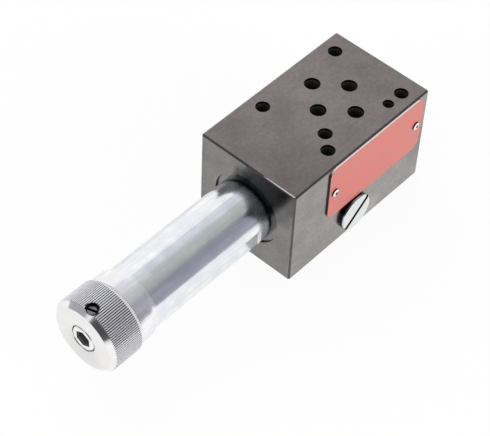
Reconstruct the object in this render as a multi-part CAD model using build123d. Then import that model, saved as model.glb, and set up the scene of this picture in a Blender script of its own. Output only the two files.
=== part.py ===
from build123d import *
import math
import os

# Sandwich-plate pressure relief valve, size 6 port pattern, with a screw-in
# cartridge whose spring housing stands out of one end and carries a hand knob.
# Frame: +Z up, bottom mounting face at Z = 0, origin in the middle of the four
# mounting bolts, knob towards -X, name plate on the -Y side. Sizes in mm.

# Block
KNOB_END_REACH = 45.6
PLAIN_END_REACH = 28.9
BLOCK_WIDTH = 44.6
BLOCK_HEIGHT = 44.8
BLOCK_EDGE_BREAK = 0.6
EDGE_BREAK = 0.3
# The valve's own axis lies this far below the top face and off the middle of the width
AXIS_DEPTH = 22.0
AXIS_Y = -0.25

# Mounting pattern seen from above, (x, y) from the pattern's middle
BOLT_HOLES = [(-20.25, 15.6875), (20.25, 15.6875), (20.25, -16.0625), (-20.25, -15.3125)]
BOLT_HOLE_D = 5.5
PORT_P = (1.25, -10.2125)
PORT_A = (-7.55, 0.1875)
PORT_B = (9.95, 0.1875)
PORT_T = (1.25, 10.5875)
PORT_D = 6.2
PIN_HOLE = (12.75, -16.0625)
PIN_HOLE_D = 4.3
PIN_HOLE_DEPTH = 6.0
SPARE_HOLE = (-14.75, -9.3125)
SPARE_HOLE_D = 5.5
SPARE_HOLE_DEPTH = 10.0

# Seal rings: cord thickness, and clearance at the running seal
PORT_RING_BORE = 9.25
PORT_RING_CORD = 1.78
PORT_POCKET_SPARE = 0.02
STATIC_RING_CORD = 1.5
SPINDLE_RING_CORD = 1.78
BACKUP_WIDTH = 1.2
GROOVE_SPARE = 0.3
GROOVE_SHOULDER = 2.4

# Cartridge cavity, stations run from its inner floor towards the knob
NOSE_WALL = 1.85
LAND_D = 14.0
LAND_LENGTH = 7.0
CHAMBER_D = 20.0
CHAMBER_LENGTH = 8.0
THREAD_D = 22.0
THREAD_LEAD = 1.0
SPOT_FACE_D = 30.0
SPOT_FACE_DEPTH = 0.8
PILOT_D = 5.0
GALLERY_D = 5.0
GALLERY_MARGIN = 0.1

# Cartridge sleeve, seat and poppet
SLEEVE_BODY_D = 17.0
SLEEVE_FLANGE = 3.0
SLEEVE_PROUD = 0.5
SLIP = 0.05
NOSE_GAP = 0.1
GUIDE_D = 10.0
VALVE_CHAMBER_D = 12.4
VALVE_CHAMBER_LENGTH = 4.7
OUTLET_D = 3.6
OUTLET_COUNT = 6
SEAT_D = 9.0
SEAT_LENGTH = 6.4
ORIFICE_D = 5.0
POPPET_GAP = 0.05
POPPET_TIP_D = 2.0
POPPET_HEAD_D = 8.4
POPPET_NECK_D = 6.0
POPPET_NECK_LENGTH = 2.0
DRAIN_D = 1.6

# Spring and its plates
PLATE_REST_GAP = 0.3
SPRING_BORE_D = 15.0
SPRING_PLATE_GAP = 0.3
SPRING_PLATE_THICKNESS = 2.5
SPRING_BOSS_D = 8.4
SPRING_BOSS_LENGTH = 2.5
SPRING_OUTER_D = 14.0
SPRING_WIRE_D = 2.5
SPRING_TURNS = 9

# Spring housing, the barrel that stands out of the block
BARREL_D = 25.4
BARREL_LENGTH = 57.9
UNDERCUT_D = 20.0
UNDERCUT_LENGTH = 1.6
FLATS_ACROSS = 24.0
FLATS_TURN = -8.0
FLATS_START = 5.9
FLATS_LENGTH = 10.0
CAP_THREAD_D = 20.0
CAP_THREAD_LENGTH = 12.0

# End cap with the collar behind the knob
CAP_THREAD_GAP = 0.2
CAP_SWELL_LENGTH = 3.4
COLLAR_D = 27.6
COLLAR_LENGTH = 5.6
CAP_BOSS_D = 18.0
CAP_BOSS_LENGTH = 6.0

# Adjusting spindle
SPINDLE_D = 10.0
SPINDLE_PITCH = 1.0
SPINDLE_TURNS = 5
SPINDLE_RELIEF = 0.8
SPINDLE_RELIEF_LENGTH = 2.0
STOP_SPARE = 0.5
HEAD_LENGTH = 7.0
TIP_D = 6.0
TIP_LENGTH = 0.8
HEX_ACROSS = 6.0
HEX_DEPTH = 6.5

# Hand knob and its set screw
KNOB_GAP = 0.3
KNOB_D = 29.4
KNOB_LENGTH = 14.3
KNOB_FACE_CHAMFER = 1.9
KNOB_REAR_CHAMFER = 0.8
KNOB_SKIRT_D = 19.6
KNOB_SKIRT_DEPTH = 6.8
BORE_CHAMFER = 0.6
KNURL_PITCH = 0.81
KNURL_DEPTH = 0.35
KNURL_CREST = 0.3
SET_SCREW_D = 4.0
SET_SCREW_LEAD = 0.7
SET_SCREW_FLARE = 1.3
SET_SCREW_BACK = 3.4
SET_SCREW_TILT = -6.5
SET_SCREW_BREAK = 0.35
SET_SCREW_RECESS = 0.7
SET_SCREW_SLOT = 0.55
SET_SCREW_SLOT_DEPTH = 0.9
SET_SCREW_SLOT_TURN = 23.0

# Gauge port plug on the front face
GAUGE_X = -10.55
GAUGE_Z = 10.5
GAUGE_DRILL_D = 5.0
PLUG_THREAD_D = 10.0
PLUG_THREAD_DEPTH = 8.0
PLUG_THREAD_SPARE = 1.5
PLUG_UNDERCUT_D = 7.8
PLUG_HEAD_D = 15.5
PLUG_HEAD_HEIGHT = 2.0
PLUG_HEAD_ROUND = 0.8
PLUG_SLOT_WIDTH = 1.6
PLUG_SLOT_DEPTH = 1.3
PLUG_SLOT_ANGLE = 39.0

# Name plate and rivets on the front face
PLATE_LENGTH = 52.3
PLATE_CENTRE_X = -0.8
PLATE_TOP_MARGIN = 0.8
PLATE_PLUG_GAP = 0.3
PLATE_THICKNESS = 0.65
PLATE_CORNER = 3.5
RIVET_INSET = 3.1
RIVET_HEAD_D = 3.6
RIVET_HEAD_HEIGHT = 0.8
RIVET_SHOULDER = (0.86, 0.7)
RIVET_SHANK_D = 2.4
RIVET_SHANK_LENGTH = 2.6
RIVET_DIMPLE_D = 1.2
RIVET_DIMPLE_DEPTH = 0.7

# Places that follow from the sizes
AXIS_Z = BLOCK_HEIGHT - AXIS_DEPTH
FRONT_Y = -BLOCK_WIDTH / 2
NOSE_X = PORT_A[0] - PORT_D / 2 - NOSE_WALL
CHAMBER_END = LAND_LENGTH + CHAMBER_LENGTH
SLEEVE_END = CHAMBER_END + SLEEVE_PROUD
BLOCK_FACE = NOSE_X + KNOB_END_REACH
SPOT_FLOOR = BLOCK_FACE - SPOT_FACE_DEPTH
BARREL_END = BLOCK_FACE + BARREL_LENGTH
CAP_SEAT = BARREL_END - CAP_THREAD_LENGTH
CAP_INNER_END = CAP_SEAT + CAP_THREAD_GAP
SWELL_END = BARREL_END + CAP_SWELL_LENGTH
COLLAR_END = SWELL_END + COLLAR_LENGTH
KNOB_REAR = COLLAR_END + KNOB_GAP
KNOB_FACE = KNOB_REAR + KNOB_LENGTH
SEAT_FACE = NOSE_GAP + SEAT_LENGTH
GUIDE_START = SEAT_FACE + VALVE_CHAMBER_LENGTH
POPPET_TAIL = SLEEVE_END + PLATE_REST_GAP
SPRING_START = POPPET_TAIL + SPRING_PLATE_THICKNESS
FEED_TRAVEL = SPINDLE_PITCH * SPINDLE_TURNS
HEAD_REAR = CAP_INNER_END - FEED_TRAVEL - STOP_SPARE
HEAD_FRONT = HEAD_REAR - HEAD_LENGTH
SPRING_END = HEAD_FRONT - TIP_LENGTH - SPRING_PLATE_THICKNESS
PLATE_TOP = BLOCK_HEIGHT - PLATE_TOP_MARGIN
PLATE_BOTTOM = GAUGE_Z + PLUG_HEAD_D / 2 + PLATE_PLUG_GAP
PLATE_CENTRE = (PLATE_CENTRE_X, FRONT_Y, (PLATE_TOP + PLATE_BOTTOM) / 2)

# On the valve axis local Z runs to the knob, local X is up, local Y is the block's Y
VALVE_AXIS = Location((NOSE_X, AXIS_Y, AXIS_Z), (0, -90, 0))
# On the front face local Z points out of the face and local X runs along the block
PLUG_FACE = Plane(origin=(GAUGE_X, FRONT_Y, GAUGE_Z), x_dir=(1, 0, 0), z_dir=(0, -1, 0))
PLATE_FACE = Plane(origin=PLATE_CENTRE, x_dir=(1, 0, 0), z_dir=(0, -1, 0))
BASE_UP = (Align.CENTER, Align.CENTER, Align.MIN)


def outline(*corners, close=False):
    """Straight-sided line through (radius, station) corners."""
    return Polyline(*[(radius, 0, station) for radius, station in corners], close=close)


def turned(*corners):
    """Solid of revolution about local Z from (radius, station) corners."""
    return revolve(make_face(outline(*corners, close=True)), Axis.Z)


def rod(diameter, start, end):
    """Cylinder about local Z between two stations."""
    return Pos(0, 0, start) * Cylinder(diameter / 2, end - start, align=BASE_UP)


def seal_ring(inner_d, cord, station):
    """Round seal ring about local Z whose middle lies at the station."""
    return Pos(0, 0, station) * Torus((inner_d + cord) / 2, cord / 2)


def drill(start, end, diameter):
    """Straight drilling from one point to another."""
    way = Vector(*end) - Vector(*start)
    return Plane(origin=start, z_dir=way) * Cylinder(diameter / 2, way.length, align=BASE_UP)


def mouth_d(undercut_d, cord):
    """Diameter of a 45 degree thread mouth that holds a ring lying in an undercut."""
    return undercut_d + cord * (2 + math.sqrt(2))


def vertical_hole(place, diameter, low, high):
    """Cutter for an upright hole at (x, y)."""
    return Pos(place[0], place[1], low) * Cylinder(diameter / 2, high - low, align=BASE_UP)


def cavity_cutter():
    """Stepped cartridge cavity with its spot face, thread mouth and pilot drilling."""
    thread_r = THREAD_D / 2
    mouth_r = mouth_d(UNDERCUT_D, STATIC_RING_CORD) / 2
    outside = BLOCK_FACE + 1
    stepped = turned(
        (0, 0),
        (LAND_D / 2, 0),
        (LAND_D / 2, LAND_LENGTH),
        (CHAMBER_D / 2, LAND_LENGTH),
        (CHAMBER_D / 2, CHAMBER_END),
        (thread_r, CHAMBER_END),
        (thread_r, SPOT_FLOOR - (mouth_r - thread_r)),
        (mouth_r, SPOT_FLOOR),
        (SPOT_FACE_D / 2, SPOT_FLOOR),
        (SPOT_FACE_D / 2, outside),
        (0, outside),
    )
    return VALVE_AXIS * (stepped + rod(PILOT_D, NOSE_X - PORT_A[0], 1))


def tank_gallery():
    """Slanted drilling, made through the cavity mouth, from the outlet chamber to port T."""
    chamber_x = NOSE_X - CHAMBER_END
    chamber_y = AXIS_Y + (THREAD_D - GALLERY_D) / 2 - GALLERY_MARGIN
    slope = (PORT_T[1] - chamber_y) / (PORT_T[0] - chamber_x)
    mouth_x = -KNOB_END_REACH - 1
    mouth_y = chamber_y + slope * (mouth_x - chamber_x)
    return drill((*PORT_T, AXIS_Z), (mouth_x, mouth_y, AXIS_Z), GALLERY_D)


def gauge_cutter():
    """Tapping on the front face with a ring seat in its mouth and a drilling to port A."""
    thread_r = PLUG_THREAD_D / 2
    mouth_r = mouth_d(PLUG_UNDERCUT_D, STATIC_RING_CORD) / 2
    depth = PLUG_THREAD_DEPTH + PLUG_THREAD_SPARE
    tapping = turned(
        (0, -depth),
        (thread_r, -depth),
        (thread_r, thread_r - mouth_r),
        (mouth_r, 0),
        (mouth_r, 1),
        (0, 1),
    )
    return PLUG_FACE * (tapping + rod(GAUGE_DRILL_D, FRONT_Y - PORT_A[1], -depth))


def rivet_places():
    """Middles of the two rivets on the plate face, along the plate's length."""
    reach = PLATE_LENGTH / 2 - RIVET_INSET
    return [(-reach, 0), (reach, 0)]


def valve_body():
    """Machined block with ports, bolt holes, cartridge cavity and gauge tapping."""
    length = KNOB_END_REACH + PLAIN_END_REACH
    middle_x = (PLAIN_END_REACH - KNOB_END_REACH) / 2
    block = Pos(middle_x, 0, 0) * Box(length, BLOCK_WIDTH, BLOCK_HEIGHT, align=BASE_UP)
    block = chamfer(block.edges(), BLOCK_EDGE_BREAK)
    pocket_depth = PORT_RING_CORD + PORT_POCKET_SPARE
    pocket_d = PORT_RING_BORE + 2 * PORT_RING_CORD
    cutters = [cavity_cutter(), tank_gallery(), gauge_cutter()]
    for place in BOLT_HOLES:
        cutters.append(vertical_hole(place, BOLT_HOLE_D, -1, BLOCK_HEIGHT + 1))
    for place in (PORT_P, PORT_A, PORT_B, PORT_T):
        cutters.append(vertical_hole(place, PORT_D, -1, BLOCK_HEIGHT + 1))
        cutters.append(vertical_hole(place, pocket_d, -1, pocket_depth))
    cutters.append(vertical_hole(PIN_HOLE, PIN_HOLE_D, BLOCK_HEIGHT - PIN_HOLE_DEPTH, BLOCK_HEIGHT + 1))
    cutters.append(
        vertical_hole(SPARE_HOLE, SPARE_HOLE_D, BLOCK_HEIGHT - SPARE_HOLE_DEPTH, BLOCK_HEIGHT + 1)
    )
    for x, z in rivet_places():
        cutters.append(PLATE_FACE * Pos(x, z, 0) * rod(RIVET_SHANK_D, -RIVET_SHANK_LENGTH, 1))
    return block - cutters


def port_o_rings():
    """Four seal rings lying in the pockets of the bottom face."""
    ring = seal_ring(PORT_RING_BORE, PORT_RING_CORD, (PORT_RING_CORD + PORT_POCKET_SPARE) / 2)
    return [Pos(x, y, 0) * ring for x, y in (PORT_P, PORT_A, PORT_B, PORT_T)]


def cartridge_sleeve():
    """Flanged sleeve that holds the seat, guides the poppet and lets oil out sideways."""
    nose_r = LAND_D / 2 - SLIP
    groove_r = LAND_D / 2 - STATIC_RING_CORD
    groove_end = LAND_LENGTH - GROOVE_SHOULDER
    groove_start = groove_end - STATIC_RING_CORD - BACKUP_WIDTH - GROOVE_SPARE
    flange_start = SLEEVE_END - SLEEVE_FLANGE
    sleeve = turned(
        (SEAT_D / 2, NOSE_GAP),
        (nose_r - EDGE_BREAK, NOSE_GAP),
        (nose_r, NOSE_GAP + EDGE_BREAK),
        (nose_r, groove_start),
        (groove_r, groove_start),
        (groove_r, groove_end),
        (nose_r, groove_end),
        (nose_r, LAND_LENGTH),
        (SLEEVE_BODY_D / 2, LAND_LENGTH),
        (SLEEVE_BODY_D / 2, flange_start),
        (CHAMBER_D / 2 - SLIP, flange_start),
        (CHAMBER_D / 2 - SLIP, SLEEVE_END),
        (GUIDE_D / 2, SLEEVE_END),
        (GUIDE_D / 2, GUIDE_START),
        (VALVE_CHAMBER_D / 2, GUIDE_START),
        (VALVE_CHAMBER_D / 2, SEAT_FACE),
        (SEAT_D / 2, SEAT_FACE),
    )
    outlet_station = (max(SEAT_FACE, LAND_LENGTH) + min(GUIDE_START, flange_start)) / 2
    outlet = Pos(0, 0, outlet_station) * Rot(0, 90, 0) * rod(OUTLET_D, 0, SLEEVE_BODY_D)
    for number in range(OUTLET_COUNT):
        sleeve -= Rot(0, 0, 360 * number / OUTLET_COUNT) * outlet
    return VALVE_AXIS * sleeve


def sleeve_rings():
    """Seal ring and backup ring side by side in the sleeve's nose groove."""
    inner_d = LAND_D - 2 * STATIC_RING_CORD
    groove_end = LAND_LENGTH - GROOVE_SHOULDER
    backup = rod(LAND_D - SLIP, groove_end - BACKUP_WIDTH, groove_end)
    backup -= rod(inner_d, groove_end - BACKUP_WIDTH, groove_end)
    middle = groove_end - BACKUP_WIDTH - GROOVE_SPARE / 2 - STATIC_RING_CORD / 2
    return VALVE_AXIS * seal_ring(inner_d, STATIC_RING_CORD, middle), VALVE_AXIS * backup


def valve_seat():
    """Hardened seat bush pressed into the sleeve's nose."""
    lead = EDGE_BREAK
    return VALVE_AXIS * turned(
        (ORIFICE_D / 2 + lead, NOSE_GAP),
        (SEAT_D / 2, NOSE_GAP),
        (SEAT_D / 2, SEAT_FACE),
        (ORIFICE_D / 2, SEAT_FACE),
        (ORIFICE_D / 2, NOSE_GAP + lead),
    )


def poppet():
    """Cone poppet on a guided stem, drained through its tail, shown just closed."""
    cone_start = SEAT_FACE + POPPET_GAP
    tip_station = cone_start - (ORIFICE_D - POPPET_TIP_D) / 2
    head_station = cone_start + (POPPET_HEAD_D - ORIFICE_D) / 2
    neck_start = head_station + 2 * EDGE_BREAK
    neck_end = neck_start + POPPET_NECK_LENGTH
    stem_r = GUIDE_D / 2 - SLIP
    neck_r = POPPET_NECK_D / 2
    body = turned(
        (0, tip_station),
        (POPPET_TIP_D / 2, tip_station),
        (POPPET_HEAD_D / 2, head_station),
        (POPPET_HEAD_D / 2, neck_start),
        (neck_r, neck_start + EDGE_BREAK),
        (neck_r, neck_end),
        (stem_r - EDGE_BREAK, neck_end),
        (stem_r, neck_end + EDGE_BREAK),
        (stem_r, POPPET_TAIL - EDGE_BREAK),
        (stem_r - EDGE_BREAK, POPPET_TAIL),
        (0, POPPET_TAIL),
    )
    cross_station = (neck_start + EDGE_BREAK + neck_end) / 2
    body -= rod(DRAIN_D, cross_station, POPPET_TAIL + 1)
    body -= Pos(0, 0, cross_station) * Rot(0, 90, 0) * rod(DRAIN_D, -GUIDE_D, GUIDE_D)
    return VALVE_AXIS * body


def spring_washer(plate_face, spring_face, bore):
    """Spring plate between two stations with a centring boss on the spring side."""
    outward = math.copysign(1, spring_face - plate_face)
    rim = SPRING_BORE_D / 2 - SPRING_PLATE_GAP
    boss_end = spring_face + outward * SPRING_BOSS_LENGTH
    break_end = boss_end - outward * EDGE_BREAK
    return turned(
        (bore / 2, plate_face),
        (rim, plate_face),
        (rim, spring_face),
        (SPRING_BOSS_D / 2, spring_face),
        (SPRING_BOSS_D / 2, break_end),
        (SPRING_BOSS_D / 2 - EDGE_BREAK, boss_end),
        (bore / 2, boss_end),
    )


def pressure_spring():
    """Round-wire compression spring with closed, ground ends."""
    wire_r = SPRING_WIRE_D / 2
    mean_r = SPRING_OUTER_D / 2 - wire_r
    length = SPRING_END - SPRING_START
    open_length = length - 2 * SPRING_WIRE_D
    closed_coil = Helix(SPRING_WIRE_D, SPRING_WIRE_D, mean_r)
    open_coils = Pos(0, 0, SPRING_WIRE_D) * Helix(open_length / SPRING_TURNS, open_length, mean_r)
    path = Wire([closed_coil, open_coils, Pos(0, 0, SPRING_WIRE_D + open_length) * closed_coil])
    section = Plane(origin=path @ 0, z_dir=path % 0) * Circle(wire_r)
    coils = sweep(section, path=path)
    ground = rod(SPRING_OUTER_D + 2, 0, length)
    return VALVE_AXIS * Pos(0, 0, SPRING_START) * (coils & ground)


def spring_housing():
    """Barrel with threaded neck, seal undercut, spring bore and two wrench flats."""
    bore_r = SPRING_BORE_D / 2
    thread_r = THREAD_D / 2
    barrel_r = BARREL_D / 2
    undercut_start = SPOT_FLOOR - UNDERCUT_LENGTH
    housing = turned(
        (bore_r, SLEEVE_END),
        (thread_r - THREAD_LEAD, SLEEVE_END),
        (thread_r, SLEEVE_END + THREAD_LEAD),
        (thread_r, undercut_start),
        (UNDERCUT_D / 2, undercut_start),
        (UNDERCUT_D / 2, SPOT_FLOOR),
        (barrel_r, SPOT_FLOOR),
        (barrel_r, BARREL_END),
        (CAP_THREAD_D / 2, BARREL_END),
        (CAP_THREAD_D / 2, CAP_SEAT),
        (bore_r, CAP_SEAT),
    )
    flats_low = BLOCK_FACE + FLATS_START
    for side in (-1, 1):
        slab = Box(BARREL_D, BARREL_D, FLATS_LENGTH, align=BASE_UP)
        slab = Pos(0, side * (FLATS_ACROSS + BARREL_D) / 2, flats_low) * slab
        housing -= Rot(0, 0, FLATS_TURN) * slab
    return VALVE_AXIS * housing


def housing_o_ring():
    """Seal ring under the barrel's shoulder, in the mouth of the block's thread."""
    station = SPOT_FLOOR - STATIC_RING_CORD / 2
    return VALVE_AXIS * seal_ring(UNDERCUT_D, STATIC_RING_CORD, station)


def end_cap():
    """Screwed-in cap that swells in an S curve to its collar, threaded for the spindle."""
    bore_r = SPINDLE_D / 2 + SLIP
    barrel_r = BARREL_D / 2
    collar_r = COLLAR_D / 2
    boss_r = CAP_BOSS_D / 2
    boss_end = COLLAR_END + CAP_BOSS_LENGTH
    middle = ((barrel_r + collar_r) / 2, 0, (BARREL_END + SWELL_END) / 2)
    hollow = TangentArc((barrel_r, 0, BARREL_END), middle, tangent=(0, 0, 1))
    crown = TangentArc(middle, (collar_r, 0, SWELL_END), tangent=hollow % 1)
    rest = outline(
        (collar_r, SWELL_END),
        (collar_r, COLLAR_END - EDGE_BREAK),
        (collar_r - EDGE_BREAK, COLLAR_END),
        (boss_r, COLLAR_END),
        (boss_r, boss_end - EDGE_BREAK),
        (boss_r - EDGE_BREAK, boss_end),
        (bore_r, boss_end),
        (bore_r, CAP_INNER_END),
        (CAP_THREAD_D / 2 - THREAD_LEAD, CAP_INNER_END),
        (CAP_THREAD_D / 2, CAP_INNER_END + THREAD_LEAD),
        (CAP_THREAD_D / 2, BARREL_END),
        (barrel_r, BARREL_END),
    )
    return VALVE_AXIS * revolve(make_face([hollow, crown, rest]), Axis.Z)


def adjusting_spindle():
    """Threaded spindle with a sealed head inside and a hexagon socket outside."""
    head_r = SPRING_BORE_D / 2 - SLIP
    groove_r = head_r - SPINDLE_RING_CORD
    groove_half = (SPINDLE_RING_CORD + GROOVE_SPARE) / 2
    groove_middle = (HEAD_FRONT + HEAD_REAR) / 2
    shank_r = SPINDLE_D / 2
    relief_r = shank_r - SPINDLE_RELIEF
    relief_end = HEAD_REAR + SPINDLE_RELIEF_LENGTH
    spindle = turned(
        (0, HEAD_FRONT - TIP_LENGTH),
        (TIP_D / 2, HEAD_FRONT - TIP_LENGTH),
        (TIP_D / 2, HEAD_FRONT),
        (head_r - EDGE_BREAK, HEAD_FRONT),
        (head_r, HEAD_FRONT + EDGE_BREAK),
        (head_r, groove_middle - groove_half),
        (groove_r, groove_middle - groove_half),
        (groove_r, groove_middle + groove_half),
        (head_r, groove_middle + groove_half),
        (head_r, HEAD_REAR),
        (relief_r, HEAD_REAR),
        (relief_r, relief_end),
        (shank_r, relief_end + SPINDLE_RELIEF),
        (shank_r, KNOB_FACE - EDGE_BREAK),
        (shank_r - EDGE_BREAK, KNOB_FACE),
        (0, KNOB_FACE),
    )
    corner_r = HEX_ACROSS / math.sqrt(3)
    floor = KNOB_FACE - HEX_DEPTH
    socket = Pos(0, 0, floor) * extrude(RegularPolygon(corner_r, 6), HEX_DEPTH + 1)
    drill_point = turned((0, floor), (HEX_ACROSS / 2, floor), (0, floor - HEX_ACROSS / 4))
    return VALVE_AXIS * (spindle - socket - drill_point)


def spindle_o_ring():
    """Running seal of the spindle head in the spring bore."""
    inner_d = SPRING_BORE_D - 2 * SLIP - 2 * SPINDLE_RING_CORD
    return VALVE_AXIS * seal_ring(inner_d, SPINDLE_RING_CORD, (HEAD_FRONT + HEAD_REAR) / 2)


def set_screw_axis():
    """Local frame whose Z runs radially outwards through the set screw."""
    station = KNOB_FACE - SET_SCREW_BACK
    return Pos(0, 0, station) * Rot(0, 0, SET_SCREW_TILT) * Rot(0, 90, 0)


def knurled_bar():
    """Straight-knurled bar of the knob's length, with flat crests between V grooves."""
    crest_r = KNOB_D / 2
    teeth = round(math.pi * KNOB_D / KNURL_PITCH)
    tooth = 2 * math.pi / teeth
    flat = KNURL_CREST / crest_r
    corners = []
    for number in range(teeth):
        start = number * tooth
        groove = start + (flat + tooth) / 2
        for radius, angle in ((crest_r, start), (crest_r, start + flat), (crest_r - KNURL_DEPTH, groove)):
            corners.append((radius * math.cos(angle), radius * math.sin(angle)))
    section = make_face(Polyline(*corners, close=True))
    return Pos(0, 0, KNOB_REAR) * extrude(section, KNOB_LENGTH)


def adjusting_knob():
    """Knurled knob with a skirt over the cap's boss and a cross hole for its screw."""
    knob_r = KNOB_D / 2
    bore_r = SPINDLE_D / 2 + SLIP
    web_rear = KNOB_REAR + KNOB_SKIRT_DEPTH
    blank = turned(
        (KNOB_SKIRT_D / 2, KNOB_REAR),
        (knob_r - KNOB_REAR_CHAMFER, KNOB_REAR),
        (knob_r, KNOB_REAR + KNOB_REAR_CHAMFER),
        (knob_r, KNOB_FACE - KNOB_FACE_CHAMFER),
        (knob_r - KNOB_FACE_CHAMFER, KNOB_FACE),
        (bore_r + BORE_CHAMFER, KNOB_FACE),
        (bore_r, KNOB_FACE - BORE_CHAMFER),
        (bore_r, web_rear),
        (KNOB_SKIRT_D / 2, web_rear),
    )
    hole = turned(
        (0, 0),
        (SET_SCREW_D / 2, 0),
        (SET_SCREW_D / 2, knob_r - SET_SCREW_LEAD),
        (SET_SCREW_D / 2 + SET_SCREW_FLARE * (SET_SCREW_LEAD + 1), knob_r + 1),
        (0, knob_r + 1),
    )
    return VALVE_AXIS * ((knurled_bar() & blank) - set_screw_axis() * hole)


def knob_set_screw():
    """Slotted set screw that clamps the knob on the spindle."""
    top = KNOB_D / 2 - SET_SCREW_RECESS
    screw = rod(SET_SCREW_D, SPINDLE_D / 2, top)
    screw = chamfer(screw.edges().filter_by(GeomType.CIRCLE), SET_SCREW_BREAK)
    slot = Box(SET_SCREW_D + 1, SET_SCREW_SLOT, SET_SCREW_SLOT_DEPTH + 1, align=BASE_UP)
    slot = Rot(0, 0, 90 + SET_SCREW_SLOT_TURN) * slot
    return VALVE_AXIS * set_screw_axis() * (screw - Pos(0, 0, top - SET_SCREW_SLOT_DEPTH) * slot)


def gauge_plug():
    """Round slotted plug that closes the gauge tapping."""
    head_r = PLUG_HEAD_D / 2
    thread_r = PLUG_THREAD_D / 2
    undercut_r = PLUG_UNDERCUT_D / 2
    plug = turned(
        (0, -PLUG_THREAD_DEPTH),
        (thread_r - EDGE_BREAK, -PLUG_THREAD_DEPTH),
        (thread_r, -PLUG_THREAD_DEPTH + EDGE_BREAK),
        (thread_r, -UNDERCUT_LENGTH),
        (undercut_r, -UNDERCUT_LENGTH),
        (undercut_r, 0),
        (head_r, 0),
        (head_r, PLUG_HEAD_HEIGHT),
        (0, PLUG_HEAD_HEIGHT),
    )
    plug = fillet(plug.edges().group_by(Axis.Z)[-1], PLUG_HEAD_ROUND)
    slot = Box(PLUG_HEAD_D + 2, PLUG_SLOT_WIDTH, PLUG_SLOT_DEPTH + 1, align=BASE_UP)
    slot = Pos(0, 0, PLUG_HEAD_HEIGHT - PLUG_SLOT_DEPTH) * Rot(0, 0, PLUG_SLOT_ANGLE) * slot
    return PLUG_FACE * (plug - slot)


def plug_o_ring():
    """Seal ring under the plug's head."""
    return PLUG_FACE * seal_ring(PLUG_UNDERCUT_D, STATIC_RING_CORD, -STATIC_RING_CORD / 2)


def name_plate():
    """Thin blank plate with rivet holes, between the block's top and the plug's head."""
    height = PLATE_TOP - PLATE_BOTTOM
    plate = extrude(RectangleRounded(PLATE_LENGTH, height, PLATE_CORNER), PLATE_THICKNESS)
    for x, z in rivet_places():
        plate -= Pos(x, z, 0) * rod(RIVET_SHANK_D, -1, 1)
    return PLATE_FACE * plate


def plate_rivets():
    """Two domed drive rivets with a dimple in the head."""
    head_r = RIVET_HEAD_D / 2
    dimple_r = RIVET_DIMPLE_D / 2
    low = PLATE_THICKNESS
    high = PLATE_THICKNESS + RIVET_HEAD_HEIGHT
    shoulder = (head_r * RIVET_SHOULDER[0], low + RIVET_HEAD_HEIGHT * RIVET_SHOULDER[1])
    rivet = turned(
        (0, -RIVET_SHANK_LENGTH),
        (RIVET_SHANK_D / 2, -RIVET_SHANK_LENGTH),
        (RIVET_SHANK_D / 2, low),
        (head_r, low),
        shoulder,
        (dimple_r, high),
        (dimple_r, high - RIVET_DIMPLE_DEPTH),
        (0, high - RIVET_DIMPLE_DEPTH),
    )
    return [PLATE_FACE * Pos(x, z, 0) * rivet for x, z in rivet_places()]


def write(name, shapes):
    """Write one node's solid, or group of solids, as a STEP file."""
    if isinstance(shapes, list):
        shapes = Compound(children=shapes)
    export_step(shapes, f"parts/{name}.step")


def main():
    os.makedirs("parts", exist_ok=True)
    sleeve_o_ring, sleeve_backup_ring = sleeve_rings()
    lower_plate = spring_washer(POPPET_TAIL, SPRING_START, DRAIN_D)
    upper_plate = spring_washer(SPRING_END + SPRING_PLATE_THICKNESS, SPRING_END, 0)
    nodes = {
        "valve_body": valve_body(),
        "port_o_rings": port_o_rings(),
        "cartridge_sleeve": cartridge_sleeve(),
        "sleeve_o_ring": sleeve_o_ring,
        "sleeve_backup_ring": sleeve_backup_ring,
        "valve_seat": valve_seat(),
        "poppet": poppet(),
        "poppet_spring_plate": VALVE_AXIS * lower_plate,
        "pressure_spring": pressure_spring(),
        "spindle_spring_plate": VALVE_AXIS * upper_plate,
        "spring_housing": spring_housing(),
        "housing_o_ring": housing_o_ring(),
        "end_cap": end_cap(),
        "adjusting_spindle": adjusting_spindle(),
        "spindle_o_ring": spindle_o_ring(),
        "adjusting_knob": adjusting_knob(),
        "knob_set_screw": knob_set_screw(),
        "gauge_plug": gauge_plug(),
        "plug_o_ring": plug_o_ring(),
        "name_plate": name_plate(),
        "plate_rivets": plate_rivets(),
    }
    for name, shapes in nodes.items():
        write(name, shapes)


main()
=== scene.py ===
import math

import bpy
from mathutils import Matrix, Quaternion, Vector


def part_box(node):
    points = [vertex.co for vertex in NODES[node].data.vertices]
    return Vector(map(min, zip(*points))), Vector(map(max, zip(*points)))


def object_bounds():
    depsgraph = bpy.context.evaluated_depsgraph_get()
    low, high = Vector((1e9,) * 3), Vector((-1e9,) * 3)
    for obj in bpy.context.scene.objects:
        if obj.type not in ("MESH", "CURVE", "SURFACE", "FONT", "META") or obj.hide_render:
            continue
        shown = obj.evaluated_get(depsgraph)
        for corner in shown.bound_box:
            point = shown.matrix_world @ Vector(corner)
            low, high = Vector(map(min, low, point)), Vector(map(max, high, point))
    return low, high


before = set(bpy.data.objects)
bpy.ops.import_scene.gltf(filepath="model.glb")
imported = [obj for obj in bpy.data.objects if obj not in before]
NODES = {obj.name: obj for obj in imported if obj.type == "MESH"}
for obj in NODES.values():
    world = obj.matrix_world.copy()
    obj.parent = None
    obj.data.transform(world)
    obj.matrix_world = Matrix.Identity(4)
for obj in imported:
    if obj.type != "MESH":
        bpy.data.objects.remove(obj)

CAD_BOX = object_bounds()
MM = 0.001
ALONG_X = (1.0, 0.0, 0.0)
ALONG_Y = (0.0, 1.0, 0.0)
WHITE = (1.0, 1.0, 1.0, 1.0)

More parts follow.
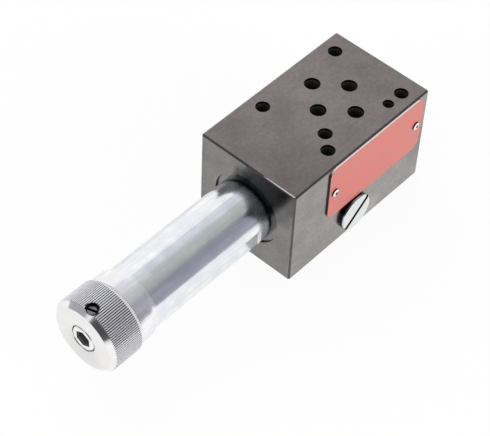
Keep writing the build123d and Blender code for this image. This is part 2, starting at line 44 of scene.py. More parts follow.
# Camera at the photograph's view: place in metres, angles in degrees, lens in millimetres
CAMERA_PLACE = (-0.356771, -0.260711, 0.483590)
CAMERA_AZIMUTH = -50.0443
CAMERA_ELEVATION = 48.9745
CAMERA_ROLL = 3.0712
CAMERA_LENS = 125.455
SENSOR_WIDTH = 36.0

# Floor: its corners along X and Y, its height and its colour
FLOOR_LOW = (-0.70, -0.26)
FLOOR_HIGH = (0.70, 0.70)
FLOOR_Z = -0.05 * MM
FLOOR_COLOUR = (0.93, 0.93, 0.93, 1.0)
# Shares of plain white that the camera, and reflections, see in place of the lit floor
FLOOR_GLOW = 0.93
FLOOR_MIRROR_GLOW = 0.74
# Behind the object, between these two places along Y, the floor's glow in reflections ends
FLOOR_GLOW_ENDS = (0.020, 0.055)

# Black card that stands beside the barrel, seen only in reflections: middle, direction
# it faces, width and height
CARD_MIDDLE = (-0.096, -0.092, 0.030)
CARD_FACING = (0.50, 0.85, 0.0)
CARD_SIZE = (0.070, 0.060)

# Strength of the even light that the room gives to matt surfaces
ROOM_LIGHT = 0.62
# Room as metal mirrors it, by the turn about the X axis from straight up towards +Y, in
# degrees
ROOM_STOPS = [
    (-90.0, (0.35, 0.35, 0.41)),
    (-48.0, (0.28, 0.29, 0.33)),
    (-26.0, (0.46, 0.48, 0.46)),
    (-6.0, (0.52, 0.53, 0.54)),
    (9.0, (0.66, 0.68, 0.72)),
    (26.0, (0.70, 0.73, 0.78)),
    (42.0, (1.00, 1.00, 1.00)),
    (90.0, (1.00, 1.00, 1.00)),
]
# Darker parts of the room, and last a small white one: direction, half angles of the core
# and of the soft rim in degrees, and tone
ROOM_PATCHES = [
    ((-0.80, -0.45, 0.40), 48.0, 66.0, (0.07, 0.07, 0.08)),
    ((-0.66, 0.63, 0.38), 10.0, 44.0, (0.38, 0.38, 0.41)),
    ((-0.35, 0.50, 0.79), 20.0, 32.0, (0.10, 0.10, 0.12)),
    ((-0.47, 0.88, 0.05), 7.0, 19.0, (0.40, 0.40, 0.43)),
    ((-0.816, 0.20, 0.543), 7.0, 10.0, (1.0, 1.0, 1.0)),
]
# Soft lamps: name, place, size and power
LAMPS = [
    ("front_lamp", (0.10, -1.30, 0.45), 1.0, 9.0),
    ("back_lamp", (0.50, 1.20, 1.00), 1.4, 9.0),
    ("side_lamp", (-1.20, 0.30, 0.60), 1.0, 5.0),
]

# Sizes of the solids that the materials need beside their boxes
EDGE_BREAK = 0.6 * MM
SPOT_FACE_RADIUS = 15.0 * MM
BARREL_RADIUS = 12.7 * MM
CAP_BOSS_LENGTH = 6.0 * MM
KNOB_FACE_CHAMFER = 1.9 * MM
KNOB_REAR_CHAMFER = 0.8 * MM
RIVET_DIMPLE_RADIUS = 0.6 * MM
# Reach of the key socket's corners from the axis, for a hexagon 6 mm across its flats
HEX_REACH = 6.0 * MM / math.sqrt(3.0)
# Outer radius of the painted shade in the gap between the spindle's end and the knob
SPINDLE_GAP_RADIUS = 5.39 * MM
# Lean of the set screw from +Z towards -Y, and turns round it from +X: of the direction
# across its slot, and of the side of its hole that lies in shade
SCREW_LEAN = math.radians(6.5)
SCREW_SLOT_TURN = math.radians(23.0)
SCREW_SHADE_TURN = math.radians(51.0)
# Lean of the plug's slot from +X towards +Z
PLUG_SLOT_LEAN = math.radians(39.0)

# Block: tones of the end, front and top faces, lighter or darker as painted light; painted shade of
# the edges all round; the rubbed edge at the near corner, lit as a painted highlight; painted shade
# of the spot face's wall and of the bores
END_TONE = (0.248, 0.238, 0.228)
FRONT_TONE = (0.315, 0.300, 0.286)
TOP_TONE = (0.203, 0.175, 0.166)
EDGE_SHADE_TONE = (0.06, 0.06, 0.06)
RUBBED_HIGHLIGHT_TONE = (0.95, 0.94, 0.93)
SPOT_WALL_SHADE_TONE = (0.015, 0.015, 0.015)
BORE_SHADE_TONE = (0.050, 0.043, 0.034)
# Soft lighter and darker spots of the block's faces and of the knob's face: middle, inner
# and outer radius in millimetres, and factor
TOP_SPOTS = [
    ((0.0, 2.0, 44.8), 3.0, 17.0, 1.11),
    ((-42.0, -22.0, 44.8), 6.0, 25.0, 0.80),
    ((22.0, -4.0, 44.8), 4.0, 16.0, 0.93),
]
# The first darkens the front's right end; the second, low in the middle, is a painted highlight
FRONT_SPOTS_WITH_HIGHLIGHT = [
    ((29.0, -22.3, 18.0), 4.0, 17.0, 0.76),
    ((0.0, -22.3, 5.0), 2.0, 7.0, 1.30),
]
# Painted shade on the end face round the barrel's foot
END_SHADE_SPOTS = [
    ((-45.6, -21.0, 39.0), 3.0, 9.0, 0.62),
    ((-45.6, -17.5, 30.0), 2.0, 6.0, 0.78),
    ((-45.6, 2.5, 38.0), 2.5, 5.0, 0.58),
    ((-45.6, 5.5, 35.0), 1.0, 3.0, 0.70),
    ((-45.6, 0.0, 43.0), 0.5, 3.0, 0.76),
]
# Painted shade low on the knob's face
KNOB_SHADE_SPOTS = [
    ((-127.1, 0.0, 17.0), 3.0, 12.0, 0.87),
]
# Painted bluish reflection and painted shade at the barrel's foot: distances from the block at
# which they start to fade and end, in millimetres, share and tone
FOOT_PAINTED_SHADE_AND_REFLECTION = [
    (1.5, 6.0, 0.60, (0.76, 0.86, 1.00)),
    (0.2, 2.6, 0.65, (0.10, 0.13, 0.13)),
]


class Graph:
    """A node tree, with short calls for the nodes used here."""

    def __init__(self, tree):
        self.nodes = tree.nodes
        self.links = tree.links

    def add(self, kind, **settings):
        node = self.nodes.new("ShaderNode" + kind)
        for key, value in settings.items():
            setattr(node, key, value)
        return node

    def feed(self, socket, value):
        """Link a socket to another, or set its value."""
        if isinstance(value, bpy.types.NodeSocket):
            self.links.new(value, socket)
        else:
            socket.default_value = value

    def math(self, operation, first, second=0.0):
        node = self.add("Math", operation=operation)
        self.feed(node.inputs[0], first)
        self.feed(node.inputs[1], second)
        return node.outputs[0]

    def product(self, first, *others):
        """Product of several numbers, of which the first is a socket."""
        for other in others:
            first = self.math("MULTIPLY", first, other)
        return first

    def vector(self, operation, first, second=(0.0, 0.0, 0.0)):
        node = self.add("VectorMath", operation=operation)
        self.feed(node.inputs[0], first)
        self.feed(node.inputs[1], second)
        return node.outputs["Value"] if operation in ("LENGTH", "DOT_PRODUCT") else node.outputs[0]

    def split(self, vector):
        node = self.add("SeparateXYZ")
        self.feed(node.inputs[0], vector)
        return node.outputs[:]

    def join(self, x, y, z):
        node = self.add("CombineXYZ")
        for socket, value in zip(node.inputs, (x, y, z)):
            self.feed(socket, value)
        return node.outputs[0]

    def noise(self, vector, size, detail=2.0, rough=0.5):
        """Noise from 0 to 1 whose lumps are about the size given, in metres."""
        node = self.add("TexNoise")
        self.feed(node.inputs["Vector"], vector)
        node.inputs["Scale"].default_value = 1.0 / size
        node.inputs["Detail"].default_value = detail
        node.inputs["Roughness"].default_value = rough
        return node.outputs["Fac"]

    def span(self, value, low, high, out_low=0.0, out_high=1.0):
        """Smooth step of a value from one range to another."""
        node = self.add("MapRange", interpolation_type="SMOOTHSTEP")
        node.inputs["From Min"].default_value = low
        node.inputs["From Max"].default_value = high
        node.inputs["To Min"].default_value = out_low
        node.inputs["To Max"].default_value = out_high
        self.feed(node.inputs["Value"], value)
        return node.outputs["Result"]

    def past(self, value, edge, blur):
        """Mask that rises from 0 to 1 where a value passes an edge, over the blur's width."""
        return self.span(value, edge - blur / 2, edge + blur / 2)

    def before(self, value, edge, blur):
        """Mask that falls from 1 to 0 where a value passes an edge, over the blur's width."""
        return self.span(value, edge - blur / 2, edge + blur / 2, 1.0, 0.0)

    def pick(self, mask, off, on):
        """Number that goes from one value to another with a mask."""
        return self.span(mask, 0.0, 1.0, off, on)

    def mix(self, share, first, second, blend="MIX"):
        node = self.add("Mix", data_type="RGBA", blend_type=blend)
        self.feed(node.inputs["Factor"], share)
        for socket, value in ((node.inputs[6], first), (node.inputs[7], second)):
            self.feed(socket, (*value, 1.0) if isinstance(value, tuple) and len(value) == 3 else value)
        return node.outputs[2]

    def bump(self, height, depth, normal=None):
        """Bump whose full height is the depth given, in metres."""
        node = self.add("Bump")
        node.inputs["Distance"].default_value = depth
        self.feed(node.inputs["Height"], height)
        if normal is not None:
            self.feed(node.inputs["Normal"], normal)
        return node.outputs[0]

    def normal(self):
        return self.add("NewGeometry").outputs["Normal"]

    def seen_rays(self):
        """Shares of camera rays, and of all rays that show the surroundings."""
        path = self.add("LightPath").outputs
        seen = path["Is Camera Ray"]
        for name in ("Is Glossy Ray", "Is Transmission Ray"):
            seen = self.math("MAXIMUM", seen, path[name])
        return path["Is Camera Ray"], seen

    def output(self, kind, share, first, second):
        """Mix two shaders and send them to the tree's output."""
        blend = self.add("MixShader")
        for socket, value in zip(blend.inputs, (share, first, second)):
            self.feed(socket, value)
        self.feed(self.add(kind).inputs["Surface"], blend.outputs[0])


class Finish(Graph):
    """One material of the object: its tree, its shader and the object's coordinates."""

    def __init__(self, name, roughness, metallic=1.0):
        self.material = bpy.data.materials.new(name)
        self.material.use_nodes = True
        super().__init__(self.material.node_tree)
        self.roughness = roughness
        self.shader = self.nodes["Principled BSDF"]
        self.shader.inputs["Metallic"].default_value = metallic
        self.shader.inputs["Roughness"].default_value = roughness
        self.place = self.add("TexCoord").outputs["Object"]

    def from_middle(self, name):
        """Vector from the middle of a node's box."""
        return self.vector("SUBTRACT", self.place, tuple(middle(name)))

    def surface(self, **inputs):
        """Feed the shader's sockets by name, with underscores for spaces."""
        for name, value in inputs.items():
            self.feed(self.shader.inputs[name.replace("_", " ")], value)
        return self.material


def middle(name):
    """Middle of a node's box."""
    low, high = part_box(name)
    return (low + high) / 2


def square_to_screw(turn):
    """Unit vector square to the set screw, turned round it from +X."""
    return (
        math.cos(turn),
        math.sin(turn) * math.cos(SCREW_LEAN),
        math.sin(turn) * math.sin(SCREW_LEAN),
    )


def round_the_axis(graph, name, axis):
    """Coordinates on a turned node: along its axis, radius, and unit vector outwards."""
    offset = graph.from_middle(name)
    along = graph.vector("DOT_PRODUCT", offset, axis)
    outward = graph.vector("MULTIPLY", offset, tuple(1.0 - part for part in axis))
    radius = graph.vector("LENGTH", outward)
    return along, radius, graph.vector("NORMALIZE", outward)


def spotted(graph, tone, spots):
    """Tone with soft round spots, each lighter or darker by its factor."""
    for centre, inner, outer, factor in spots:
        offset = graph.vector("SUBTRACT", graph.place, tuple(MM * part for part in centre))
        share = graph.span(graph.vector("LENGTH", offset), inner * MM, outer * MM, 1.0, 0.0)
        tone = graph.mix(share, tone, (factor, factor, factor), "MULTIPLY")
    return tone


def block_depths(graph):
    """Depth along each axis under the nearer face of the block's box."""
    low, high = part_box("valve_body")
    offset = graph.vector("ABSOLUTE", graph.from_middle("valve_body"))
    return graph.split(graph.vector("SUBTRACT", tuple((high - low) / 2), offset))


def block_face_painted_light(graph, on_top):
    """Tone of each of the block's faces, lighter or darker as painted light, with its spots."""
    end = spotted(graph, END_TONE, END_SHADE_SPOTS)
    front = spotted(graph, FRONT_TONE, FRONT_SPOTS_WITH_HIGHLIGHT)
    top = spotted(graph, TOP_TONE, TOP_SPOTS)
    facing_y = graph.split(graph.normal())[1]
    on_front = graph.before(facing_y, -0.7, 0.4)
    return graph.mix(on_top, graph.mix(on_front, end, front), top)


def block_steel():
    """Grey machined block, mottled, its faces lighter or darker as painted light, with painted shade
    on its edges, spot face's wall and bores, a painted highlight on a rubbed edge, and a half matt
    top.
    """
    graph = Finish("block_steel", 0.3)
    depth_x, depth_y, depth_z = block_depths(graph)
    lower = graph.math("MINIMUM", depth_x, depth_y)
    upper = graph.math("MAXIMUM", depth_x, depth_y)
    edge_depth = graph.math("MAXIMUM", lower, graph.math("MINIMUM", upper, depth_z))
    on_edge = graph.before(edge_depth, EDGE_BREAK, 0.06 * MM)
    in_bore = graph.past(graph.math("MINIMUM", lower, depth_z), 1.3 * MM, 0.6 * MM)
    on_top = graph.span(graph.split(graph.normal())[2], 0.5, 0.9)

    cloud = graph.noise(graph.place, 11 * MM, 3.0)
    mottle = graph.noise(graph.place, 1.6 * MM, 3.0, 0.6)
    grain = graph.noise(graph.place, 0.7 * MM, 2.0)
    lines = graph.noise(graph.vector("MULTIPLY", graph.place, (0.03, 1.0, 1.0)), 0.30 * MM, 2.0, 0.6)
    place_x, place_y, _ = graph.split(graph.place)
    shade = graph.span(place_x, -45 * MM, 0.0, 0.94, 1.04)
    for pattern, spread in ((cloud, 0.09), (mottle, 0.08), (grain, 0.07), (lines, 0.05)):
        shade = graph.product(shade, graph.span(pattern, 0.3, 0.7, 1.0 - spread, 1.0 + spread))
    tone = graph.vector("MULTIPLY", block_face_painted_light(graph, on_top), graph.join(shade, shade, shade))
    # Painted shade on the edges all round
    tone = graph.mix(graph.product(on_edge, 0.75), tone, EDGE_SHADE_TONE)

    # Rubbed edge at the near corner, lightened to near white as a painted highlight
    near_corner = graph.math("ADD", place_y, graph.product(mottle, 16 * MM))
    rubbed_highlight = graph.product(
        on_edge,
        graph.before(depth_z, 0.34 * MM, 0.08 * MM),
        graph.before(depth_x, 0.575 * MM, 0.05 * MM),
        graph.before(near_corner, -1.0 * MM, 4.0 * MM),
    )
    tone = graph.mix(rubbed_highlight, tone, RUBBED_HIGHLIGHT_TONE)
    # Painted shade on the spot face's wall
    _, radius, _ = round_the_axis(graph, "spring_housing", ALONG_X)
    spot_wall_shade = graph.product(
        graph.past(radius, SPOT_FACE_RADIUS - 0.10 * MM, 0.08 * MM),
        graph.before(radius, SPOT_FACE_RADIUS + 0.10 * MM, 0.08 * MM),
        graph.past(depth_x, 0.06 * MM, 0.08 * MM),
    )
    tone = graph.mix(spot_wall_shade, tone, SPOT_WALL_SHADE_TONE)
    # Painted shade in the bores
    tone = graph.mix(in_bore, tone, BORE_SHADE_TONE)

    roughness = graph.span(cloud, 0.3, 0.7, 0.19, 0.24)
    roughness = graph.math("ADD", roughness, graph.product(in_bore, 0.4))
    metallic = graph.product(graph.pick(on_top, 1.0, 0.5), graph.pick(in_bore, 1.0, 0.2))
    normal = graph.bump(grain, 0.006 * MM, graph.bump(lines, 0.004 * MM))
    return graph.surface(Base_Color=tone, Roughness=roughness, Metallic=metallic, Normal=normal)


def zinc_look(graph, name, axis, pale, dull, relief=1.0, base=None):
    """Radius, tone, gloss and normal of bright zinc on a turned node, streaked and cloudy."""
    along, radius, outward = round_the_axis(graph, name, axis)
    cloud = graph.noise(graph.place, 6 * MM, 3.0)
    rings = graph.noise(graph.join(along, radius, 0.0), 0.25 * MM, 3.0, 0.7)
    around = graph.vector("MULTIPLY", outward, (BARREL_RADIUS, BARREL_RADIUS, BARREL_RADIUS))
    drift = graph.vector("MULTIPLY", graph.place, tuple(0.06 * part for part in axis))
    streak = graph.noise(graph.vector("ADD", around, drift), 1.6 * MM, 3.0, 0.6)
    # The streaks run along the sides and leave the end faces even
    facing = graph.math("ABSOLUTE", graph.vector("DOT_PRODUCT", graph.normal(), axis))
    on_side = graph.before(facing, 0.85, 0.20)
    streak = graph.product(graph.math("SUBTRACT", streak, 0.5), on_side)
    streak = graph.math("ADD", streak, 0.5)
    tone = graph.mix(graph.span(cloud, 0.3, 0.7), pale, dull)
    tone = graph.mix(graph.span(streak, 0.40, 0.60, 0.0, 0.7), tone, dull)
    rough = graph.span(streak, 0.3, 0.7, graph.roughness * 0.8, graph.roughness * 1.25)
    normal = graph.bump(rings, 0.003 * relief * MM, base)
    normal = graph.bump(streak, 0.018 * relief * MM, normal)
    return radius, tone, rough, normal


def barrel_zinc():
    """Bright zinc barrel with a painted bluish reflection and painted shade at its foot by the block,
    dulled where it stands on the block and on its wrench flats.
    """
    graph = Finish("barrel_zinc", 0.16)
    look = zinc_look(graph, "spring_housing", ALONG_X, (0.99, 1.00, 1.00), (0.82, 0.845, 0.885), 1.6)
    radius, tone, rough, normal = look
    block_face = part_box("valve_body")[0].x
    from_block = graph.math("SUBTRACT", block_face, graph.split(graph.place)[0])
    # Painted bluish reflection and painted shade at the foot
    for near, far, share, painted_tone in FOOT_PAINTED_SHADE_AND_REFLECTION:
        tone = graph.mix(graph.span(from_block, near * MM, far * MM, share, 0.0), tone, painted_tone)
    dull_band = graph.product(
        graph.past(from_block, 1.4 * MM, 2.0 * MM),
        graph.before(from_block, 6.0 * MM, 6.0 * MM),
        0.13,
    )
    rough = graph.math("ADD", rough, dull_band)
    on_flat = graph.before(radius, BARREL_RADIUS - 0.175 * MM, 0.15 * MM)
    metallic = graph.pick(on_flat, 1.0, 0.7)
    return graph.surface(Base_Color=tone, Roughness=rough, Metallic=metallic, Normal=normal)


def cap_zinc():
    """Bright zinc cap with a matt front; its shallow swell shines as if it were straight."""
    graph = Finish("cap_zinc", 0.19)
    _, _, outward = round_the_axis(graph, "end_cap", ALONG_X)
    facing = graph.normal()
    side = graph.before(graph.math("ABSOLUTE", graph.split(facing)[0]), 0.825, 0.15)
    straight = graph.vector("MULTIPLY", outward, graph.join(side, side, side))
    straight = graph.vector("ADD", straight, straight)
    straight = graph.vector("NORMALIZE", graph.vector("ADD", facing, straight))
    pale, dull = (1.00, 0.99, 1.00), (0.88, 0.865, 0.895)
    _, tone, rough, normal = zinc_look(graph, "end_cap", ALONG_X, pale, dull, 1.6, straight)
    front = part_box("end_cap")[0].x + CAP_BOSS_LENGTH
    on_front = graph.before(graph.split(graph.place)[0], front + 0.20 * MM, 0.20 * MM)
    rough = graph.math("MAXIMUM", rough, graph.product(on_front, 0.9))
    metallic = graph.pick(on_front, 0.88, 0.1)
    return graph.surface(Base_Color=tone, Roughness=rough, Metallic=metallic, Normal=normal)


def spindle_zinc():
    """Bright spindle end with painted shade in its key socket."""
    graph = Finish("spindle_zinc", 0.24)
    look = zinc_look(graph, "adjusting_spindle", ALONG_X, (0.92, 0.92, 0.91), (0.85, 0.85, 0.84), 0.5)
    radius, tone, rough, normal = look
    end_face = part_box("adjusting_spindle")[0].x
    from_face = graph.math("SUBTRACT", graph.split(graph.place)[0], end_face)
    in_socket = graph.product(
        graph.before(radius, HEX_REACH + 0.12 * MM, 0.07 * MM),
        graph.span(from_face, 0.10 * MM, 1.20 * MM),
    )
    # Painted shade in the key socket
    tone = graph.mix(in_socket, tone, (0.15, 0.15, 0.15))
    metallic = graph.pick(in_socket, 1.0, 0.3)
    return graph.surface(Base_Color=tone, Roughness=rough, Metallic=metallic, Normal=normal)


def set_screw_hole(graph):
    """Mask of the painted shade on the wall of the set screw's hole, widest on its side in shade."""
    screw, knob = middle("knob_set_screw"), middle("adjusting_knob")
    foot = Vector((screw.x, knob.y, knob.z))
    offset = graph.vector("SUBTRACT", graph.place, tuple(foot))
    arm = tuple((screw - foot).normalized())
    from_screw = graph.vector("LENGTH", graph.vector("CROSS_PRODUCT", offset, arm))
    shaded = graph.vector("DOT_PRODUCT", offset, square_to_screw(SCREW_SHADE_TURN))
    reach = graph.math("SUBTRACT", from_screw, graph.product(shaded, 0.35))
    return graph.product(
        graph.before(reach, 2.175 * MM, 0.25 * MM),
        graph.before(from_screw, 2.75 * MM, 0.20 * MM),
    )


def knob_satin():
    """Satin knob with a smooth face, a front chamfer lightened as a painted highlight, and painted
    shade in its knurl grooves, in the set screw's hole, in the gap round the spindle and low on its
    face.
    """
    low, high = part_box("adjusting_knob")
    crest = (high.z - low.z) / 2
    graph = Finish("knob_satin", 0.24)
    look = zinc_look(graph, "adjusting_knob", ALONG_X, (0.90, 0.89, 0.885), (0.85, 0.84, 0.835), 0.25)
    radius, tone, rough, normal = look
    place_x = graph.split(graph.place)[0]
    from_face = graph.math("SUBTRACT", place_x, low.x)
    from_rear = graph.math("SUBTRACT", high.x, place_x)
    on_side = graph.product(
        graph.past(from_face, KNOB_FACE_CHAMFER - 0.025 * MM, 0.15 * MM),
        graph.past(from_rear, KNOB_REAR_CHAMFER - 0.05 * MM, 0.10 * MM),
    )
    on_rear = graph.before(from_rear, KNOB_REAR_CHAMFER, 0.08 * MM)
    on_chamfer = graph.product(
        graph.past(from_face, 0.05 * MM, 0.06 * MM),
        graph.past(radius, 10.5 * MM, 1.0 * MM),
        graph.pick(on_side, 1.0, 0.0),
    )
    in_groove = graph.product(graph.before(radius, crest - 0.14 * MM, 0.14 * MM), on_side)
    on_crest = graph.math("SUBTRACT", on_side, in_groove)
    in_hole = graph.product(set_screw_hole(graph), on_side)
    in_gap = graph.before(radius, SPINDLE_GAP_RADIUS, 0.06 * MM)

    tone = graph.mix(on_side, spotted(graph, tone, KNOB_SHADE_SPOTS), (0.88, 0.87, 0.92))
    # Painted shade in the knurl's grooves
    tone = graph.mix(in_groove, tone, (0.15, 0.145, 0.165))
    # Painted shade in the set screw's hole
    tone = graph.mix(in_hole, tone, (0.02, 0.02, 0.02))
    # Painted shade in the gap round the spindle's end
    tone = graph.mix(in_gap, tone, (0.08, 0.08, 0.08))
    # Front chamfer lightened as a painted highlight
    tone = graph.mix(graph.product(on_chamfer, 0.4), tone, (1.0, 1.0, 1.0))
    rough = graph.math("SUBTRACT", rough, graph.product(on_chamfer, 0.11))
    rough = graph.math("ADD", rough, graph.product(on_side, 0.03))
    metallic = graph.math("SUBTRACT", 1.0, graph.product(on_crest, 0.32))
    metallic = graph.math("SUBTRACT", metallic, graph.product(on_rear, 0.70))
    return graph.surface(Base_Color=tone, Roughness=rough, Metallic=metallic, Normal=normal)


def screw_steel():
    """Blackened set screw, with painted shade on its side in shade and a broad line of painted shade
    for its slot.
    """
    graph = Finish("screw_steel", 0.3)
    offset = graph.from_middle("knob_set_screw")
    grain = graph.noise(graph.place, 0.2 * MM, 2.0)
    tone = graph.mix(graph.span(grain, 0.3, 0.7), (0.33, 0.33, 0.315), (0.24, 0.24, 0.23))
    shaded = graph.vector("DOT_PRODUCT", offset, square_to_screw(SCREW_SHADE_TURN))
    # Painted shade on the screw's side in shade
    tone = graph.mix(graph.span(shaded, 0.7 * MM, 1.7 * MM, 0.0, 0.85), tone, (0.02, 0.02, 0.02))
    across = graph.vector("DOT_PRODUCT", offset, square_to_screw(SCREW_SLOT_TURN))
    in_slot = graph.before(graph.math("ABSOLUTE", across), 0.52 * MM, 0.20 * MM)
    # Painted shade along the slot
    tone = graph.mix(in_slot, tone, (0.01, 0.01, 0.01))
    return graph.surface(Base_Color=tone, Normal=graph.bump(grain, 0.002 * MM))


def plug_zinc():
    """Zinc plug head with a painted grey-blue reflection on its rounded edge, and painted shade where
    it meets the block and along its slot.
    """
    low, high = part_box("gauge_plug")
    edge = (high.z - low.z) / 2
    graph = Finish("plug_zinc", 0.20)
    look = zinc_look(graph, "gauge_plug", ALONG_Y, (0.93, 0.95, 0.955), (0.82, 0.85, 0.86))
    radius, tone, rough, normal = look
    behind = graph.math("SUBTRACT", graph.split(graph.place)[1], low.y)
    near_rim = graph.past(radius, edge - 0.8 * MM, 1.6 * MM)
    on_round = graph.product(graph.span(behind, 0.05 * MM, 0.5 * MM), near_rim)
    # Painted grey-blue reflection on the rounded edge
    tone = graph.mix(graph.product(on_round, 0.7), tone, (0.30, 0.34, 0.34))
    at_rim = graph.past(radius, edge - 0.3 * MM, 0.2 * MM)
    on_wall = graph.product(graph.past(behind, 0.7 * MM, 0.5 * MM), at_rim)
    slot_across = (-math.sin(PLUG_SLOT_LEAN), 0.0, math.cos(PLUG_SLOT_LEAN))
    across = graph.vector("DOT_PRODUCT", graph.from_middle("gauge_plug"), slot_across)
    in_slot = graph.before(graph.math("ABSOLUTE", across), 0.96 * MM, 0.16 * MM)
    # Painted shade on the wall where the head meets the block, and along the slot
    tone = graph.mix(graph.math("MAXIMUM", on_wall, in_slot), tone, (0.02, 0.025, 0.025))
    return graph.surface(Base_Color=tone, Roughness=rough, Normal=normal)


def rivet_bright():
    """Bright rivet heads with painted shade on their rim and in their dimple."""
    low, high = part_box("plate_rivets")
    head = (high.z - low.z) / 2
    reach = (high.x - low.x) / 2 - head
    graph = Finish("rivet_bright", 0.18)
    x, _, z = graph.split(graph.from_middle("plate_rivets"))
    # Both heads fold onto one, so one radius serves the two
    x = graph.math("SUBTRACT", graph.math("ABSOLUTE", x), reach)
    radius = graph.vector("LENGTH", graph.join(x, 0.0, z))
    grain = graph.noise(graph.place, 0.2 * MM, 2.0)
    tone = graph.mix(graph.span(grain, 0.3, 0.7), (0.93, 0.91, 0.90), (0.86, 0.83, 0.82))
    on_rim = graph.past(radius, head - 0.23 * MM, 0.10 * MM)
    in_dimple = graph.before(radius, RIVET_DIMPLE_RADIUS + 0.01 * MM, 0.06 * MM)
    # Painted shade on the rim and in the dimple
    tone = graph.mix(graph.math("MAXIMUM", on_rim, in_dimple), tone, (0.008, 0.004, 0.004))
    return graph.surface(Base_Color=tone, Normal=graph.bump(grain, 0.002 * MM))


def plate_paint():
    """Red plate: slightly cloudy satin colour; of its cut sides the top one is painted lit and the
    others painted in shade.
    """
    graph = Finish("plate_paint", 0.42, 0.0)
    cloud = graph.noise(graph.place, 5 * MM, 3.0)
    grain = graph.noise(graph.place, 0.25 * MM, 2.0)
    tone = graph.mix(graph.span(cloud, 0.3, 0.7), (0.66, 0.165, 0.135), (0.58, 0.180, 0.150))
    tone = graph.mix(graph.span(grain, 0.35, 0.65, 0.0, 0.2), tone, (0.52, 0.15, 0.13))
    face_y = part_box("name_plate")[0].y
    on_side = graph.past(graph.split(graph.place)[1], face_y + 0.055 * MM, 0.05 * MM)
    facing_z = graph.split(graph.normal())[2]
    # Cut sides: painted light on the top one, painted shade on the others
    painted_side_light = graph.mix(graph.past(facing_z, 0.6, 0.4), (0.07, 0.015, 0.015), (0.95, 0.80, 0.77))
    tone = graph.mix(on_side, tone, painted_side_light)
    return graph.surface(Base_Color=tone, Normal=graph.bump(grain, 0.004 * MM))


def plain_metal(name, pale, dull, roughness):
    """Metal with a faint cloud in colour and gloss, for pieces of any form."""
    graph = Finish(name, roughness)
    cloud = graph.noise(graph.place, 2 * MM, 3.0)
    grain = graph.noise(graph.place, 0.2 * MM, 2.0)
    tone = graph.mix(graph.span(cloud, 0.3, 0.7), pale, dull)
    rough = graph.span(grain, 0.3, 0.7, roughness * 0.8, roughness * 1.2)
    return graph.surface(Base_Color=tone, Roughness=rough, Normal=graph.bump(grain, 0.002 * MM))


def plain_dull(name, pale, dull, roughness):
    """Rubber or plastic with a fine grain."""
    graph = Finish(name, roughness, 0.0)
    grain = graph.noise(graph.place, 0.15 * MM, 2.0)
    cloud = graph.noise(graph.place, 1.5 * MM, 2.0)
    tone = graph.mix(graph.span(cloud, 0.3, 0.7), pale, dull)
    return graph.surface(Base_Color=tone, Normal=graph.bump(grain, 0.003 * MM))


def dress(material, *names):
    """Give CAD nodes a finished material."""
    for name in names:
        for place in NODES[name].material_slots:
            place.material = material


def dress_all():
    """Give every CAD node its material."""
    dress(block_steel(), "valve_body")
    dress(barrel_zinc(), "spring_housing")
    dress(cap_zinc(), "end_cap")
    dress(spindle_zinc(), "adjusting_spindle")
    dress(knob_satin(), "adjusting_knob")
    dress(screw_steel(), "knob_set_screw")
    dress(plug_zinc(), "gauge_plug")
    dress(rivet_bright(), "plate_rivets")
    dress(plate_paint(), "name_plate")
    dress(
        plain_metal("hard_steel", (0.58, 0.58, 0.59), (0.50, 0.50, 0.51), 0.22),
        "cartridge_sleeve", "valve_seat", "poppet", "poppet_spring_plate", "spindle_spring_plate",
    )
    dress(plain_metal("spring_wire", (0.27, 0.27, 0.29), (0.20, 0.20, 0.22), 0.30), "pressure_spring")
    dress(
        plain_dull("seal_rubber", (0.030, 0.030, 0.032), (0.022, 0.022, 0.023), 0.45),
        "port_o_rings", "sleeve_o_ring", "housing_o_ring", "spindle_o_ring", "plug_o_ring",
    )
    dress(plain_dull("backup_ptfe", (0.82, 0.81, 0.78), (0.78, 0.77, 0.73), 0.4), "sleeve_backup_ring")


def stage_piece(name, corners, material):
    """One flat four-cornered piece of the studio."""
    mesh = bpy.data.meshes.new(name)
    mesh.from_pydata(corners, [], [(0, 1, 2, 3)])
    mesh.materials.append(material)
    piece = bpy.data.objects.new(name, mesh)
    bpy.context.scene.collection.objects.link(piece)
    return piece


def make_floor():
    """Plain white floor that keeps the object's soft shadow."""
    material = bpy.data.materials.new("white_floor")
    material.use_nodes = True
    graph = Graph(material.node_tree)
    graph.nodes.clear()
    paint = graph.add("BsdfDiffuse")
    paint.inputs["Color"].default_value = FLOOR_COLOUR
    glow = graph.add("Emission")
    glow.inputs["Color"].default_value = WHITE
    camera, seen = graph.seen_rays()
    place_y = graph.split(graph.add("TexCoord").outputs["Object"])[1]
    fade = graph.span(place_y, *FLOOR_GLOW_ENDS, 1.0, 0.0)
    mirrored = graph.product(seen, FLOOR_MIRROR_GLOW, fade)
    share = graph.math("MAXIMUM", graph.product(camera, FLOOR_GLOW), mirrored)
    graph.output("OutputMaterial", share, paint.outputs[0], glow.outputs[0])
    (west, south), (east, north) = FLOOR_LOW, FLOOR_HIGH
    corners = [(west, south), (east, south), (east, north), (west, north)]
    stage_piece("floor", [(x, y, FLOOR_Z) for x, y in corners], material)


def make_card():
    """Black card beside the barrel that shows only in reflections."""
    material = bpy.data.materials.new("black_card")
    material.use_nodes = True
    shader = material.node_tree.nodes["Principled BSDF"]
    shader.inputs["Base Color"].default_value = (0.02, 0.02, 0.02, 1.0)
    shader.inputs["Roughness"].default_value = 0.9
    half_width, half_height = (size / 2 for size in CARD_SIZE)
    sideways = Vector(CARD_FACING).cross(Vector((0.0, 0.0, 1.0))).normalized() * half_width
    upward = Vector((0.0, 0.0, half_height))
    signs = ((-1, -1), (1, -1), (1, 1), (-1, 1))
    corners = [Vector(CARD_MIDDLE) + across * sideways + up * upward for across, up in signs]
    card = stage_piece("card", corners, material)
    card.visible_camera = False
    card.visible_diffuse = False
    card.visible_shadow = False


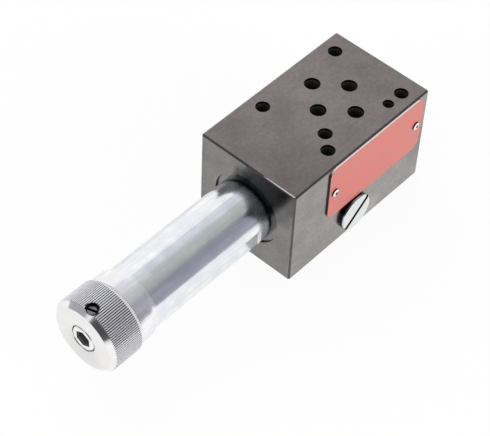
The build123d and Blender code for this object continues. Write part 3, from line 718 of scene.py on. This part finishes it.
def room_ramp(graph, turn):
    """Tone of the room for a turn about the X axis, in radians."""
    first, last = ROOM_STOPS[0][0], ROOM_STOPS[-1][0]
    along = graph.math("SUBTRACT", turn, math.radians(first))
    along = graph.math("DIVIDE", along, math.radians(last - first))
    ramp = graph.add("ValToRGB")
    ramp.color_ramp.interpolation = "EASE"
    stops = ramp.color_ramp.elements
    while len(stops) < len(ROOM_STOPS):
        stops.new(0.5)
    for stop, (angle, colour) in zip(stops, ROOM_STOPS):
        stop.position = (angle - first) / (last - first)
        stop.color = (*colour, 1.0)
    graph.feed(ramp.inputs[0], along)
    return ramp.outputs[0]


def make_room():
    """Room that metal mirrors with its bright and dark parts; the camera sees it white."""
    world = bpy.data.worlds.new("room")
    bpy.context.scene.world = world
    world.use_nodes = True
    graph = Graph(world.node_tree)
    graph.nodes.clear()
    direction = graph.add("TexCoord").outputs["Generated"]
    _, y, z = graph.split(direction)
    room = room_ramp(graph, graph.math("ARCTAN2", y, z))
    for aim, core, rim, tone in ROOM_PATCHES:
        toward = graph.vector("DOT_PRODUCT", direction, tuple(Vector(aim).normalized()))
        share = graph.span(toward, math.cos(math.radians(rim)), math.cos(math.radians(core)))
        room = graph.mix(share, room, tone)
    camera, seen = graph.seen_rays()
    mirror = graph.add("Background")
    graph.feed(mirror.inputs["Color"], graph.mix(camera, room, WHITE))
    light = graph.add("Background")
    light.inputs["Color"].default_value = WHITE
    light.inputs["Strength"].default_value = ROOM_LIGHT
    graph.output("OutputWorld", seen, light.outputs[0], mirror.outputs[0])


def make_lamps():
    """Large soft lamps for the painted surfaces and the floor."""
    low, high = CAD_BOX
    for name, place, size, power in LAMPS:
        data = bpy.data.lights.new(name, "AREA")
        data.shape = "DISK"
        data.size = size
        data.energy = power
        lamp = bpy.data.objects.new(name, data)
        lamp.location = place
        lamp.rotation_mode = "QUATERNION"
        lamp.rotation_quaternion = ((low + high) / 2 - Vector(place)).to_track_quat("-Z", "Y")
        lamp.visible_glossy = False
        lamp.visible_camera = False
        bpy.context.scene.collection.objects.link(lamp)


def make_camera():
    """Camera where the photograph was taken."""
    data = bpy.data.cameras.new("camera")
    data.sensor_width = SENSOR_WIDTH
    data.lens = CAMERA_LENS
    camera = bpy.data.objects.new("camera", data)
    azimuth = math.radians(CAMERA_AZIMUTH)
    elevation = math.radians(CAMERA_ELEVATION)
    back = Vector((
        math.sin(azimuth) * math.cos(elevation),
        -math.cos(azimuth) * math.cos(elevation),
        math.sin(elevation),
    ))
    roll = Quaternion((0.0, 0.0, 1.0), math.radians(CAMERA_ROLL))
    camera.location = CAMERA_PLACE
    camera.rotation_mode = "QUATERNION"
    camera.rotation_quaternion = (-back).to_track_quat("-Z", "Y") @ roll
    bpy.context.scene.collection.objects.link(camera)
    bpy.context.scene.camera = camera


make_camera()
make_floor()
make_card()
make_room()
make_lamps()
dress_all()
bpy.context.scene.view_settings.view_transform = "Standard"
